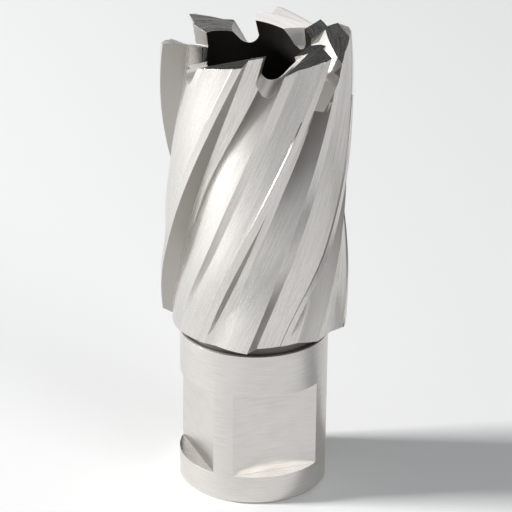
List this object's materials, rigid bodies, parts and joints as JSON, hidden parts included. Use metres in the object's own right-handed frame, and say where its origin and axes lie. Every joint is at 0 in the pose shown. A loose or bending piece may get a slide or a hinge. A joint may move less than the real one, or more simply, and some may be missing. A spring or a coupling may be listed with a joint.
{
  "type": "annular cutter",
  "caption": "Hollow annular cutter with helical flutes, toothed rim, relieved neck and a straight shank with side-lock flats, ground from solid steel.",
  "frame": {"origin": "centre of the shank's end face, on the cutter's axis", "axes": "+Z along the axis from the shank's end to the teeth, -Y towards the side that the picture shows"},
  "size_m": [0.0238, 0.0238, 0.0606],
  "materials": {
    "high_speed_steel": "bright high speed steel, ground all over, with fine grinding lines along the flutes and round the shank"
  },
  "bodies": {
    "root": {"annular_cutter": "high_speed_steel"}
  },
  "joints": []
}
